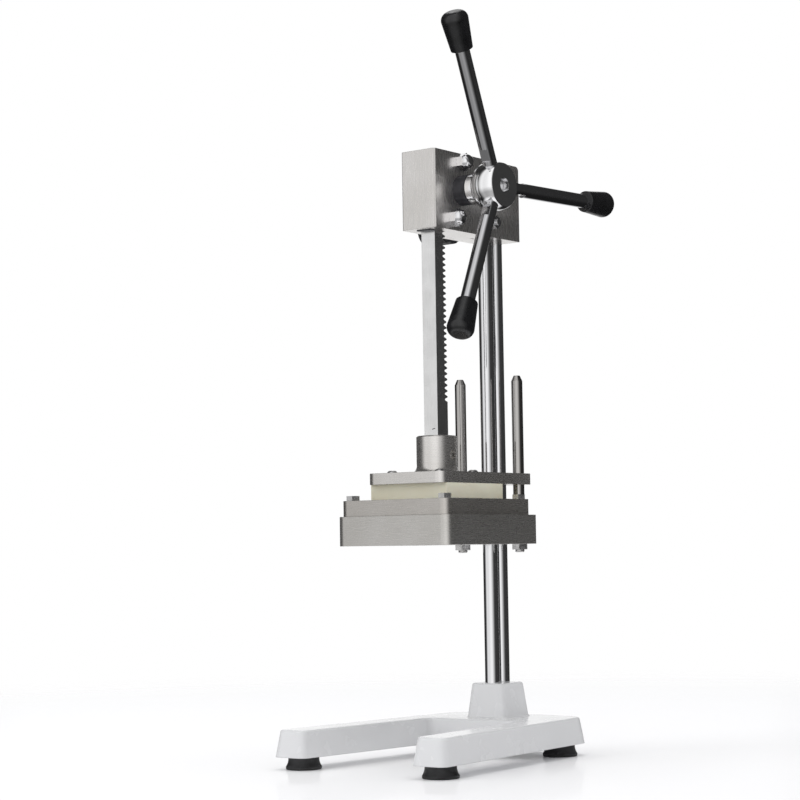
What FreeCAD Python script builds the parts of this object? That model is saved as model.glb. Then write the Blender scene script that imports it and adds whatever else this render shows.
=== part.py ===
# Vertical french fry cutter: a rack and pinion press on two posts.
# Millimetres. X is across the machine with the handles on +X, the front is -Y, Z is up.
# Places are first given from the floor under the middle of the two posts. The part's origin lies
# in front of it, on the floor under the middle of the whole machine.
import FreeCAD, Part
import math
import os
import re

doc = FreeCAD.newDocument("fry_cutter")
Vector = FreeCAD.Vector

# Driving dimensions
SIZES = {
    # posts
    "post_line_offset": 71, "post_diameter": 16.5, "post_spacing": 19, "post_foot_height": 22,
    "post_top_height": 652, "post_end_chamfer": 1,
    # base casting
    "base_underside": 13.5, "base_thickness": 28.5, "base_front_reach": 250, "base_rear_reach": 47,
    "base_front_half_width": 109, "base_taper": 23, "base_draft": 4,
    "leg_front_width": 35, "notch_rear_half_width": 60, "notch_rear_reach": 46,
    "leg_corner_radius": 9, "base_rear_radius": 24, "notch_corner_radius": 12, "base_edge_radius": 3,
    "pedestal_rise": 38, "pedestal_top_half_width": 21.5, "pedestal_top_half_depth": 22,
    "pedestal_flare": 5, "pedestal_corner_radius": 6,
    "lock_screw_low": 11.4, "lock_screw_high": 26.6, "lock_screw_length": 9,
    # rubber feet
    "foot_top_diameter": 33, "foot_bottom_diameter": 38, "foot_recess_depth": 4,
    "foot_recess_diameter": 16, "foot_bore": 6.6, "foot_edge": 1.5,
    "foot_flare_rise": 3, "foot_waist": 0.6, "foot_inset_front": 21, "foot_inset_rear": 28,
    "foot_inset_side": 19, "foot_inset_side_rear": 17,
    "foot_screw_head_diameter": 11, "foot_screw_head_height": 3.2,
    "foot_screw_diameter": 6, "foot_screw_grip": 14,
    # blade table
    "table_width": 150, "table_front_reach": 189, "table_rear_reach": 21.5, "table_underside": 233.5,
    "table_thickness": 31.5, "table_corner_radius": 10, "throat_width": 105.4,
    "press_centre_reach": 107, "tongue_half_width": 51, "tongue_corner_radius": 8,
    "collar_half_width": 24, "clamp_cap_depth": 20, "clamp_gap": 0.6,
    "clamp_cap_radius": 3, "clamp_screw_diameter": 6, "clamp_screw_offset": 16.5, "clamp_screw_grip": 14,
    "slab_lap": 30,
    # blade frame and blades
    "frame_width": 143, "frame_front_reach": 186, "frame_rear_reach": 31, "frame_thickness": 17,
    "frame_corner_radius": 9, "blade_count": 9, "blade_pitch": 10, "blade_thickness": 0.8,
    "blade_height": 10, "blade_seat_depth": 4, "blade_floor": 0.5,
    "frame_bolt_inset": 10, "frame_bolt_diameter": 8, "frame_bolt_flats": 13,
    "frame_bolt_head": 5.3, "frame_bolt_grip": 18,
    # guide pins
    "pin_diameter": 12.5, "pin_half_spacing": 39, "pin_reach": 7.8, "pin_stand": 155.5,
    "pin_tip_length": 6, "pin_tip_diameter": 7, "pin_thread_diameter": 10, "pin_thread_drop": 9,
    "pin_nut_flats": 16, "pin_nut_height": 6, "pin_thread_chamfer": 1,
    # press plate, socket and pusher
    "plate_width": 103, "plate_front_reach": 165.5, "plate_rear_reach": 3.7, "plate_stand": 17,
    "plate_thickness": 12.2, "plate_corner_radius": 10, "plate_slot_half_width": 11,
    "socket_diameter": 44, "socket_height": 40.4, "socket_foot_diameter": 54, "socket_flare": 10,
    "socket_rim_chamfer": 1.2, "socket_screw_height": 19, "set_screw_diameter": 8,
    "set_screw_counterbore": 9.6, "set_screw_counterbore_depth": 7, "set_screw_length": 6,
    "set_screw_hex": 4, "bush_wall": 1.5, "pusher_width": 103, "pusher_body": 21,
    "pusher_corner_radius": 2, "peg_side": 8, "peg_reach": 2,
    "pusher_screw_reach": 114.5, "pusher_screw_offset": 32, "pusher_screw_offset_deep": 30,
    "pusher_screw_diameter": 6, "pusher_screw_head": 12, "pusher_screw_dome": 3, "pusher_screw_grip": 11,
    # rack and pinion
    "gear_module": 2, "pinion_teeth": 15, "rack_width": 18, "rack_depth": 18.8,
    "rack_front_reach": 116.1, "rack_top_drop": 3.9, "teeth_below_axis": 36,
    "teeth_above_axis": 5, "tooth_backlash": 0.24, "axis_rise": 44.8, "pinion_face_width": 17,
    "shaft_diameter": 16, "shaft_bore_recess": 7, "shaft_chamfer": 1,
    # head block
    "head_half_width": 22.8, "head_front_reach": 133.2, "head_rear_reach": 26.6,
    "head_drop": 76.3, "head_stand": 9.9, "head_front_chamfer": 2.2,
    "head_rear_radius": 5, "head_slit_width": 2, "head_slit_reach": 37, "rack_channel_gap": 0.3,
    "pinion_pocket_gap": 1.5, "pinion_side_gap": 1, "guide_depth": 7.5, "guide_drop": 1,
    "bush_diameter": 26, "bush_flange_diameter": 33, "bush_flange_width": 15,
    "left_flange_width": 3, "stud_diameter": 8, "stud_grip": 10, "stud_stand": 9,
    "upper_stud_reach": 84.3, "upper_stud_drop": 9.9, "lower_stud_reach": 99,
    "lower_stud_rise": 13.3, "acorn_flats": 17, "acorn_hex_height": 8, "acorn_dome_height": 7,
    # clamp of the head
    "clamp_stud_reach": 26.5, "clamp_stud_rise": 16.3, "clamp_stud_diameter": 8,
    "clamp_nut_flats": 13, "clamp_nut_height": 6.5, "clamp_stud_stand": 3,
    "clamp_knob_diameter": 36, "clamp_knob_length": 40, "clamp_knob_neck_diameter": 20,
    "clamp_knob_neck_length": 7, "clamp_knob_neck_chamfer": 2, "clamp_knob_edge": 3,
    "flute_count": 12, "flute_diameter": 6, "flute_stand": 1.6, "clamp_knob_bore_depth": 5,
    # star handle
    "hub_start_gap": 0.5, "hub_neck_diameter": 34, "hub_neck_length": 9, "hub_belly_diameter": 54,
    "hub_end_diameter": 48, "hub_end_reach": 80.5, "arm_root_reach": 68.4, "arm_tilt": 5.5,
    "arm_angle": 120.2, "arm_count": 3, "arm_diameter": 16, "arm_tip_radius": 155.4,
    "arm_root_radius": 14, "arm_flat_width": 12, "arm_flat_start": 31, "arm_flat_length": 14,
    "knob_length": 42, "knob_small_diameter": 24, "knob_large_diameter": 29.5,
    "knob_bore_depth": 16, "knob_stud_diameter": 10, "knob_stud_gap": 1, "knob_rim": 9,
    "grub_diameter": 6, "grub_length": 7, "grub_hex": 3, "grub_swing": 35,
    "circlip_groove_diameter": 14.5, "circlip_width": 1.2, "circlip_diameter": 21, "circlip_gap": 0.2,
    "circlip_mouth": 10.2, "shaft_left_stand": 3,
    # fits, and how far a cutter runs past the face that it cuts
    "running_gap": 0.05, "slide_gap": 0.06, "soft_gap": 0.3, "bolt_gap": 0.3, "over": 1,
}
sheet = doc.addObject("Spreadsheet::Sheet", "sizes")
for row, (name, value) in enumerate(SIZES.items(), start=1):
    sheet.set("A%d" % row, name)
    sheet.set("B%d" % row, str(value))
    sheet.setAlias("B%d" % row, name)

# Heights and widths that follow from the driving dimensions: the table and all that stands on it
# go together, and so do the posts' tops and all that the head carries
PLACES = {
    "base_rear_half_width": "base_front_half_width - base_taper",
    "plate_underside": "table_underside + table_thickness + frame_thickness + plate_stand",
    "peg_bottom": "table_underside + table_thickness + blade_floor - peg_reach",
    "pin_top_height": "table_underside + table_thickness + pin_stand",
    "head_underside": "post_top_height - head_drop",
    "head_top_height": "post_top_height + head_stand",
    "axis_height": "head_underside + axis_rise",
    "rack_top_height": "head_top_height - rack_top_drop",
    "upper_stud_height": "head_top_height - upper_stud_drop",
    "lower_stud_height": "head_underside + lower_stud_rise",
    "clamp_stud_height": "head_underside + clamp_stud_rise",
}
places = doc.addObject("App::VarSet", "places")


def bound(text):
    """An expression in which every named size points at its cell, and every place at its value."""
    def point(word):
        name = word.group(0)
        return ("sizes." if name in SIZES else "places." if name in PLACES else "") + name

    return re.sub(r"[a-z_]{2,}", point, str(text))


for name, text in PLACES.items():
    places.addProperty("App::PropertyFloat", name)
    places.setExpression(name, bound(text))
doc.recompute()


def v(name):
    """The value of one size or place."""
    return float(getattr(places, name) if name in PLACES else sheet.get(name))


TURNS = {
    "z": FreeCAD.Rotation(),
    "x": FreeCAD.Rotation(Vector(0, 1, 0), 90),
    "-x": FreeCAD.Rotation(Vector(0, 1, 0), -90),
    "y": FreeCAD.Rotation(Vector(1, 0, 0), -90),
    "-z": FreeCAD.Rotation(Vector(1, 0, 0), 180),
}
STEPS = {"z": (0, 0, 1), "x": (1, 0, 0), "-x": (-1, 0, 0), "y": (0, 1, 0), "-z": (0, 0, -1)}
used_names = {}


def unique(stem):
    """A name that no object has yet."""
    used_names[stem] = used_names.get(stem, 0) + 1
    return "%s_%d" % (stem, used_names[stem])


def primitive(kind, stem, sizes, place, axis):
    """A Part primitive whose sizes and place are bound to the sheet."""
    item = doc.addObject(kind, unique(stem))
    item.Placement = FreeCAD.Placement(Vector(), TURNS[axis])
    for prop, text in sizes.items():
        item.setExpression(prop, bound(text))
    for letter, text in zip("xyz", place):
        item.setExpression("Placement.Base." + letter, bound(text))
    return item


def box(size, corner):
    sizes = dict(zip(("Length", "Width", "Height"), size))
    return primitive("Part::Box", "block", sizes, corner, "z")


def rod(diameter, length, place, axis="z"):
    sizes = {"Radius": "(%s)/2" % diameter, "Height": length}
    return primitive("Part::Cylinder", "rod", sizes, place, axis)


def cone(start, end, length, place, axis="z"):
    sizes = {"Radius1": "(%s)/2" % start, "Radius2": "(%s)/2" % end, "Height": length}
    return primitive("Part::Cone", "cone", sizes, place, axis)


def hexagon(flats, height, place, axis="z"):
    sizes = {"Circumradius": "(%s)/sqrt(3)" % flats, "Height": height}
    return primitive("Part::Prism", "hexagon", sizes, place, axis)


def along(place, axis, distance):
    """A place moved by an expression along an axis."""
    step = STEPS[axis]
    return tuple("%s + %d*(%s)" % (text, sign, distance) for text, sign in zip(place, step))


def stack(place, axis, *segments):
    """Cylinders and cones one after another: each has a start, an end diameter and a length."""
    pieces = []
    gone = "0"
    for start, end, length in segments:
        spot = along(place, axis, gone)
        if start == end:
            pieces.append(rod(start, length, spot, axis))
        else:
            pieces.append(cone(start, end, length, spot, axis))
        gone = "%s + %s" % (gone, length)
    return fuse(pieces)


def fuse(pieces):
    if len(pieces) == 1:
        return pieces[0]
    item = doc.addObject("Part::MultiFuse", unique("joined"))
    item.Shapes = pieces
    item.Refine = True
    return item


def cut(base, tools):
    item = doc.addObject("Part::Cut", unique("shaped"))
    item.Base = base
    item.Tool = fuse(tools)
    item.Refine = True
    return item


def group(pieces):
    item = doc.addObject("Part::Compound", unique("set"))
    item.Links = pieces
    return item


def rounded(base, radius, keep):
    """The base with the edges that keep() picks filleted."""
    doc.recompute()
    item = doc.addObject("Part::Fillet", unique("rounded"))
    item.Base = base
    item.Edges = [(n, radius, radius) for n, edge in enumerate(base.Shape.Edges, start=1) if keep(edge)]
    return item


def chamfered(base, length, keep):
    doc.recompute()
    item = doc.addObject("Part::Chamfer", unique("chamfered"))
    item.Base = base
    item.Edges = [(n, length, length) for n, edge in enumerate(base.Shape.Edges, start=1) if keep(edge)]
    return item


def upright(edge):
    ends = [vertex.Point for vertex in edge.Vertexes]
    return len(ends) == 2 and abs((ends[0] - ends[1]).normalize().z) > 0.99


def flat_at(height):
    """Picks the edges that lie at one height."""
    return lambda edge: edge.BoundBox.ZLength < 0.01 and abs(edge.BoundBox.ZMin - height) < 0.01


def shape_feature(shape, stem="form"):
    item = doc.addObject("Part::Feature", unique(stem))
    item.Shape = shape
    return item


def revolved(profile):
    """A solid of revolution. The profile runs from the axis back to it as (radius, height)
    points; a point with four numbers is an arc through the first pair to the second."""
    edges = []
    at = Vector(profile[0][0], 0, profile[0][1])
    for point in profile[1:]:
        end = Vector(point[-2], 0, point[-1])
        if len(point) == 4:
            edges.append(Part.Arc(at, Vector(point[0], 0, point[1]), end).toShape())
        elif (end - at).Length > 1e-6:
            edges.append(Part.makeLine(at, end))
        at = end
    edges.append(Part.makeLine(at, Vector(profile[0][0], 0, profile[0][1])))
    return Part.Face(Part.Wire(edges)).revolve(Vector(), Vector(0, 0, 1), 360)


def turned(profile, place, axis="z"):
    """A revolved solid that stands at a place along an axis."""
    item = shape_feature(revolved(profile))
    item.Placement = FreeCAD.Placement(Vector(*place), TURNS[axis])
    return item


named = []


def piece(item, label):
    """Gives a finished sub-part its name, and moves it from the posts to the part's origin."""
    whole = doc.addObject("Part::Compound", unique("piece"))
    whole.Links = [item]
    whole.setExpression("Placement.Base.y", "sizes.post_line_offset")
    whole.Label = label
    named.append(whole)
    return whole


# Places that several pieces share
POST_FRONT = ("0", "-post_spacing/2", "0")
POST_REAR = ("0", "post_spacing/2", "0")
BASE_TOP = "(base_underside + base_thickness)"
PEDESTAL_TOP = "(base_underside + base_thickness + pedestal_rise)"
TABLE_TOP = "(table_underside + table_thickness)"
FRAME_TOP = "(table_underside + table_thickness + frame_thickness)"
PLATE_TOP = "(plate_underside + plate_thickness)"
RACK_TIP = "(rack_depth - rack_front_reach)"
AXIS_Y = "(rack_depth - rack_front_reach - gear_module + gear_module*pinion_teeth/2)"
RACK_CENTRE = "(rack_depth/2 - rack_front_reach)"
rack_tip = v("rack_depth") - v("rack_front_reach")
axis_y = rack_tip - v("gear_module") + v("gear_module") * v("pinion_teeth") / 2
axis_z = v("axis_height")
bend = 1 - math.sqrt(0.5)
base_top = v("base_underside") + v("base_thickness")
plate_top = v("plate_underside") + v("plate_thickness")
SIDES = ((-1, "left"), (1, "right"))


def post_bores(height, bottom, gap="running_gap"):
    """Bores for the two posts."""
    size = "post_diameter + 2*%s" % gap
    return [rod(size, height, (spot[0], spot[1], bottom)) for spot in (POST_FRONT, POST_REAR)]


# Posts
for spot, label in ((POST_FRONT, "post_front"), (POST_REAR, "post_rear")):
    small = "post_diameter - 2*post_end_chamfer"
    straight = "post_top_height - post_foot_height - 2*post_end_chamfer"
    piece(stack((spot[0], spot[1], "post_foot_height"), "z",
                (small, "post_diameter", "post_end_chamfer"),
                ("post_diameter", "post_diameter", straight),
                ("post_diameter", small, "post_end_chamfer")), label)


# Base casting: a drafted U with a pedestal that carries the posts
def u_outline(grow, height):
    """The plan of the base as a closed wire, grown by the draft."""
    front = -v("base_front_reach") - grow
    rear = v("base_rear_reach") + grow
    wide = v("base_front_half_width") + grow
    tail = v("base_rear_half_width") + grow
    mouth = v("base_front_half_width") - v("leg_front_width") - grow
    notch = v("notch_rear_half_width") - grow
    back = -v("notch_rear_reach") - grow
    half = [(mouth, front), (wide, front), (tail, rear)]
    points = [(notch, back)] + half + [(-x, y) for x, y in reversed(half)] + [(-notch, back)]
    radii = [v("notch_corner_radius")] + [v("leg_corner_radius")] * 2 + [v("base_rear_radius")]
    radii = radii + radii[::-1]
    return rounded_outline(points, radii, height)


def rounded_outline(points, radii, height):
    """A closed wire of straight lines with an arc of its own radius at each corner."""
    count = len(points)
    corners = [Vector(x, y, height) for x, y in points]
    edges = []
    starts, ends, middles = [], [], []
    for n, corner in enumerate(corners):
        before = (corners[n - 1] - corner).normalize()
        after = (corners[(n + 1) % count] - corner).normalize()
        half_angle = before.getAngle(after) / 2
        reach = radii[n] / math.tan(half_angle)
        inward = (before + after).normalize()
        starts.append(corner + before * reach)
        ends.append(corner + after * reach)
        middles.append(corner + inward * (radii[n] / math.sin(half_angle) - radii[n]))
    for n in range(count):
        edges.append(Part.Arc(starts[n], middles[n], ends[n]).toShape())
        edges.append(Part.makeLine(ends[n], starts[(n + 1) % count]))
    return Part.Wire(edges)


def rectangle(half_x, y_low, y_high, radius, height):
    points = [(-half_x, y_low), (half_x, y_low), (half_x, y_high), (-half_x, y_high)]
    return rounded_outline(points, [radius] * 4, height)


u_solid = Part.makeLoft([u_outline(v("base_draft"), v("base_underside")), u_outline(0, base_top)],
                        True, True)
half_x = v("pedestal_top_half_width")
half_y = v("pedestal_top_half_depth")
flare = v("pedestal_flare")
corner_r = v("pedestal_corner_radius")
pedestal = Part.makeLoft([
    rectangle(half_x + flare, -half_y - flare, half_y + flare, corner_r + flare / 2, base_top - v("over")),
    rectangle(half_x, -half_y, half_y, corner_r, base_top + v("pedestal_rise"))], True, True)
raw_base = rounded(fuse([shape_feature(u_solid), shape_feature(pedestal)]), v("base_edge_radius"),
                   lambda edge: flat_at(base_top)(edge) or flat_at(base_top + v("pedestal_rise"))(edge))
foot_side = v("base_front_half_width") - v("foot_inset_side")
foot_rear_side = v("base_rear_half_width") - v("foot_inset_side_rear")
foot_spots = {}
for side, side_name in SIDES:
    foot_spots["front_" + side_name] = (side * foot_side, v("foot_inset_front") - v("base_front_reach"))
    foot_spots["rear_" + side_name] = (side * foot_rear_side,
                                       v("base_rear_reach") - v("foot_inset_rear"))
foot_taps = [rod("foot_screw_diameter", "foot_screw_grip + over", (str(x), str(y), "base_underside - over"))
             for x, y in foot_spots.values()]
lock_heights = ("lock_screw_low", "lock_screw_high")
lock_spots = [("0", "post_spacing/2 + post_diameter/2", BASE_TOP + " + " + rise) for rise in lock_heights]
lock_taps = [rod("set_screw_diameter", "base_rear_reach", spot, "y") for spot in lock_spots]
piece(cut(raw_base, post_bores("post_top_height", "post_foot_height", "0") + foot_taps + lock_taps),
      "base_casting")


def set_screw(place, axis, diameter, length, hexagon_size):
    """A grub screw with a hexagon socket in its outer end."""
    body = rod(diameter, length, place, axis)
    socket_place = along(place, axis, "(%s)/2" % length)
    return cut(body, [hexagon(hexagon_size, length, socket_place, axis)])


piece(group([set_screw(spot, "y", "set_screw_diameter", "lock_screw_length", "set_screw_hex")
             for spot in lock_spots]), "post_lock_screws")


# Rubber feet and their screws
def foot(x, y):
    top = v("foot_top_diameter") / 2
    low = v("foot_bottom_diameter") / 2
    high = v("base_underside")
    recess = v("foot_recess_depth") + v("foot_screw_head_height")
    edge = v("foot_edge")
    profile = [(v("foot_bore") / 2, recess), (v("foot_recess_diameter") / 2, recess),
               (v("foot_recess_diameter") / 2, 0), (low - edge, 0),
               (low - edge * bend, edge * bend, low, edge), (low, v("foot_flare_rise")),
               (top + v("foot_waist"), high / 2, top, high), (v("foot_bore") / 2, high)]
    return turned(profile, (x, y, 0))


def foot_screw(x, y):
    seat = "foot_recess_depth + foot_screw_head_height"
    return stack((str(x), str(y), "foot_recess_depth"), "z",
                 ("foot_screw_head_diameter", "foot_screw_head_diameter", "foot_screw_head_height"),
                 ("foot_screw_diameter", "foot_screw_diameter",
                  "base_underside - (%s) + foot_screw_grip" % seat))


for spot_name, (x, y) in foot_spots.items():
    piece(foot(x, y), "rubber_foot_" + spot_name)
piece(group([foot_screw(x, y) for x, y in foot_spots.values()]), "foot_screws")

# Blade table: a thick block with a throat, and a rear tongue that grips the posts
tall_box = box(("table_width", "table_front_reach - table_rear_reach", "table_thickness"),
               ("-table_width/2", "-table_front_reach", "table_underside"))
table_slab = rounded(tall_box, v("table_corner_radius"), upright)
tongue_slab = rounded(box(("2*tongue_half_width", "plate_rear_reach + table_rear_reach + slab_lap",
                           "table_thickness"),
                          ("-tongue_half_width", "-table_rear_reach - slab_lap", "table_underside")),
                      v("tongue_corner_radius"), upright)
collar_block = box(("2*collar_half_width", "post_spacing/2 + table_rear_reach", "table_thickness"),
                   ("-collar_half_width", "-table_rear_reach", "table_underside"))
throat = box(("throat_width", "throat_width", "table_thickness + 2*over"),
             ("-throat_width/2", "-press_centre_reach - throat_width/2", "table_underside - over"))
frame_bolt_spots = []
for side, side_name in SIDES:
    x = "%d*(frame_width/2 - frame_bolt_inset)" % side
    frame_bolt_spots += [(x, "frame_bolt_inset - frame_front_reach"),
                         (x, "-frame_rear_reach - frame_bolt_inset")]
pin_spots = {side_name: ("%d*pin_half_spacing" % side, "-pin_reach") for side, side_name in SIDES}
bolt_taps = [rod("frame_bolt_diameter", "frame_bolt_grip + 2*over",
                 (x, y, TABLE_TOP + " - frame_bolt_grip - over")) for x, y in frame_bolt_spots]
pin_bores = [rod("pin_diameter", "table_thickness + 2*over", (x, y, "table_underside - over"))
             for x, y in pin_spots.values()]
cap_screw_spots = [("%d*clamp_screw_offset" % side, "table_underside + table_thickness/2")
                   for side, side_name in SIDES]
cap_taps = [rod("clamp_screw_diameter", "clamp_screw_grip + over",
                (x, "post_spacing/2 - clamp_screw_grip", z), "y") for x, z in cap_screw_spots]
piece(cut(fuse([table_slab, tongue_slab, collar_block]),
          [throat] + bolt_taps + pin_bores + cap_taps
          + post_bores("table_thickness + 2*over", "table_underside - over", "0")), "blade_table")

# Cap behind the rear post that clamps the table
cap_face = "post_spacing/2 + clamp_gap"
cap_block = rounded(box(("2*collar_half_width", "clamp_cap_depth", "table_thickness"),
                        ("-collar_half_width", cap_face, "table_underside")), v("clamp_cap_radius"),
                    lambda edge: upright(edge) and edge.BoundBox.YMin > v("post_spacing"))
cap_holes = [rod("clamp_screw_diameter + 2*bolt_gap", "clamp_cap_depth + 2*over",
                 (x, cap_face + " - over", z), "y")
             for x, z in cap_screw_spots]
piece(cut(cap_block, cap_holes + post_bores("table_thickness + 2*over", "table_underside - over", "0")),
      "table_clamp_cap")


def cap_screw(place, axis, diameter, grip):
    """A socket head cap screw: the place is under its head, and the axis points out of it."""
    head = rod("1.6*(%s)" % diameter, diameter, place, axis)
    shank = rod(diameter, grip, along(place, axis, "-(%s)" % grip), axis)
    socket_cut = hexagon("0.8*(%s)" % diameter, diameter, along(place, axis, "(%s)/2" % diameter), axis)
    return cut(fuse([head, shank]), [socket_cut])


piece(group([cap_screw((x, cap_face + " + clamp_cap_depth", z), "y", "clamp_screw_diameter",
                       "clamp_cap_depth + clamp_gap + clamp_screw_grip - over")
             for x, z in cap_screw_spots]), "table_clamp_screws")

# Blade frame with its crossed blades
frame_slab = rounded(box(("frame_width", "frame_front_reach - frame_rear_reach", "frame_thickness"),
                         ("-frame_width/2", "-frame_front_reach", TABLE_TOP)),
                     v("frame_corner_radius"), upright)
frame_throat = box(("throat_width", "throat_width", "frame_thickness + 2*over"),
                   ("-throat_width/2", "-press_centre_reach - throat_width/2", TABLE_TOP + " - over"))
frame_holes = [rod("frame_bolt_diameter + 2*bolt_gap", "frame_thickness + 2*over",
                   (x, y, TABLE_TOP + " - over")) for x, y in frame_bolt_spots]
BLADE_LENGTH = "(throat_width + 2*blade_seat_depth)"
BLADE_BOTTOM = TABLE_TOP + " + blade_floor"
offsets = [n - (v("blade_count") - 1) / 2 for n in range(int(v("blade_count")))]


def strips(direction, height, bottom):
    """Upright strips along X or along Y, on the blade pitch."""
    made = []
    for offset in offsets:
        middle = "%g*blade_pitch - blade_thickness/2" % offset
        if direction == "x":
            made.append(box((BLADE_LENGTH, "blade_thickness", height),
                            ("-%s/2" % BLADE_LENGTH, "-press_centre_reach + " + middle, bottom)))
        else:
            made.append(box(("blade_thickness", BLADE_LENGTH, height),
                            (middle, "-press_centre_reach - %s/2" % BLADE_LENGTH, bottom)))
    return made


seat_cuts = strips("x", "blade_height", BLADE_BOTTOM) + strips("y", "blade_height", BLADE_BOTTOM)
piece(cut(frame_slab, [frame_throat] + frame_holes + seat_cuts), "blade_frame")
upper_half = strips("y", "blade_height/2 + over", BLADE_BOTTOM + " + blade_height/2")
lower_half = strips("x", "blade_height/2 + over", BLADE_BOTTOM + " - over")
piece(cut(group(strips("x", "blade_height", BLADE_BOTTOM)), upper_half), "blades_lower")
piece(cut(group(strips("y", "blade_height", BLADE_BOTTOM)), lower_half), "blades_upper")


def hex_bolt(x, y):
    head = hexagon("frame_bolt_flats", "frame_bolt_head", (x, y, FRAME_TOP))
    shank = rod("frame_bolt_diameter", "frame_thickness + frame_bolt_grip",
                (x, y, TABLE_TOP + " - frame_bolt_grip"))
    return fuse([head, shank])


piece(group([hex_bolt(x, y) for x, y in frame_bolt_spots]), "blade_frame_bolts")

# Guide pins stand in the table tongue and are held by nuts below it
for side_name, (x, y) in pin_spots.items():
    straight = "pin_top_height - table_underside - pin_tip_length"
    thread_end = "pin_thread_diameter - 2*pin_thread_chamfer"
    bottom = "table_underside - pin_thread_drop"
    piece(stack((x, y, bottom), "z",
                (thread_end, "pin_thread_diameter", "pin_thread_chamfer"),
                ("pin_thread_diameter", "pin_thread_diameter", "pin_thread_drop - pin_thread_chamfer"),
                ("pin_diameter", "pin_diameter", straight),
                ("pin_diameter", "pin_tip_diameter", "pin_tip_length")), "guide_pin_" + side_name)
nuts = [cut(hexagon("pin_nut_flats", "pin_nut_height", (x, y, "table_underside - pin_nut_height")),
            [rod("pin_thread_diameter", "pin_nut_height + 2*over",
                 (x, y, "table_underside - pin_nut_height - over"))])
        for x, y in pin_spots.values()]
piece(group(nuts), "guide_pin_nuts")

# Press plate with the rack socket, sliding on the guide pins around the posts
plate_slab = rounded(box(("plate_width", "plate_front_reach + plate_rear_reach", "plate_thickness"),
                         ("-plate_width/2", "-plate_front_reach", "plate_underside")),
                     v("plate_corner_radius"), upright)
socket_r = v("socket_diameter") / 2
foot_r = v("socket_foot_diameter") / 2
rim = v("socket_rim_chamfer")
flare_r = v("socket_flare")
socket_y = v("rack_depth") / 2 - v("rack_front_reach")
# the flare starts on a small upright lip and is a little taller than a quarter round
foot_lip = 0.6
flare_rise = flare_r * bend * 1.2
socket = turned([(0, -1), (foot_r, -1), (foot_r, foot_lip),
                 (socket_r + (foot_r - socket_r) * bend, flare_rise, socket_r, flare_r),
                 (socket_r, v("socket_height") - rim), (socket_r - rim, v("socket_height")),
                 (0, v("socket_height"))], (0, socket_y, plate_top))
rack_pocket = box(("rack_width", "rack_depth", "socket_height + over"),
                  ("-rack_width/2", "-rack_front_reach", PLATE_TOP))
SCREW_Z = PLATE_TOP + " + socket_screw_height"
SCREW_DEPTH = "(socket_diameter - rack_width)/2"
set_tap = rod("set_screw_diameter", SCREW_DEPTH + " + over", ("rack_width/2", RACK_CENTRE, SCREW_Z), "x")
set_bore = rod("set_screw_counterbore", "set_screw_counterbore_depth + over",
               ("socket_diameter/2 - set_screw_counterbore_depth", RACK_CENTRE, SCREW_Z), "x")
plate_slot = box(("2*plate_slot_half_width", "post_spacing + slab_lap", "plate_thickness + 2*over"),
                 ("-plate_slot_half_width", "-post_spacing/2 - plate_slot_half_width",
                  "plate_underside - over"))
bush_bores = [rod("pin_diameter + 2*slide_gap + 2*bush_wall", "plate_thickness + 2*over",
                  (x, y, "plate_underside - over")) for x, y in pin_spots.values()]
pusher_screw_spots = [("%d*pusher_screw_offset" % a, "-pusher_screw_reach + %d*pusher_screw_offset_deep" % b)
                      for a in (-1, 1) for b in (-1, 1)]
plate_holes = [rod("pusher_screw_diameter + 2*bolt_gap", "plate_thickness + 2*over",
                   (x, y, "plate_underside - over")) for x, y in pusher_screw_spots]
piece(cut(fuse([plate_slab, socket]),
          [rack_pocket, set_tap, set_bore, plate_slot] + bush_bores + plate_holes), "press_plate")
piece(group([cut(rod("pin_diameter + 2*slide_gap + 2*bush_wall", "plate_thickness",
                     (x, y, "plate_underside")),
                 [rod("pin_diameter + 2*slide_gap", "plate_thickness + 2*over",
                      (x, y, "plate_underside - over"))]) for x, y in pin_spots.values()]), "plate_bushes")
piece(set_screw(("rack_width/2", RACK_CENTRE, SCREW_Z), "x", "set_screw_diameter", "set_screw_length",
                "set_screw_hex"), "rack_set_screw")

# Pusher block: a nylon block with a peg for every cell between the blades
pusher_slab = rounded(box(("pusher_width", "pusher_width", "pusher_body"),
                          ("-pusher_width/2", "-press_centre_reach - pusher_width/2",
                           "plate_underside - pusher_body")),
                      v("pusher_corner_radius"), upright)
PEG_HEIGHT = "plate_underside - pusher_body + over - peg_bottom"
pegs = []
cells = [n - v("blade_count") / 2 for n in range(int(v("blade_count")) + 1)]
for across in cells:
    for deep in cells:
        pegs.append(box(("peg_side", "peg_side", PEG_HEIGHT),
                        ("%g*blade_pitch - peg_side/2" % across,
                         "-press_centre_reach + %g*blade_pitch - peg_side/2" % deep, "peg_bottom")))
pusher_taps = [rod("pusher_screw_diameter", "pusher_screw_grip + over",
                   (x, y, "plate_underside - pusher_screw_grip")) for x, y in pusher_screw_spots]
piece(cut(fuse([pusher_slab] + pegs), pusher_taps), "pusher_block")


def dome_screw(x, y):
    head_r = v("pusher_screw_head") / 2
    rise = v("pusher_screw_dome")
    grip = v("plate_thickness") + v("pusher_screw_grip")
    shank = v("pusher_screw_diameter") / 2
    # the shoulder is a share of the head's radius and rise, and the crown is a small flat
    shoulder = 0.75
    crown = 0.5
    profile = [(0, -grip), (shank, -grip), (shank, 0), (head_r, 0),
               (head_r * shoulder, rise * shoulder, crown, rise), (0, rise)]
    return turned(profile, (x, y, plate_top))


piece(group([dome_screw(a * v("pusher_screw_offset"),
                        b * v("pusher_screw_offset_deep") - v("pusher_screw_reach"))
             for a in (-1, 1) for b in (-1, 1)]), "pusher_screws")

# Rack: a square bar with teeth towards the posts
module = v("gear_module")
pitch = math.pi * module
pressure_angle = math.radians(20)
slope = math.tan(pressure_angle)


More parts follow.
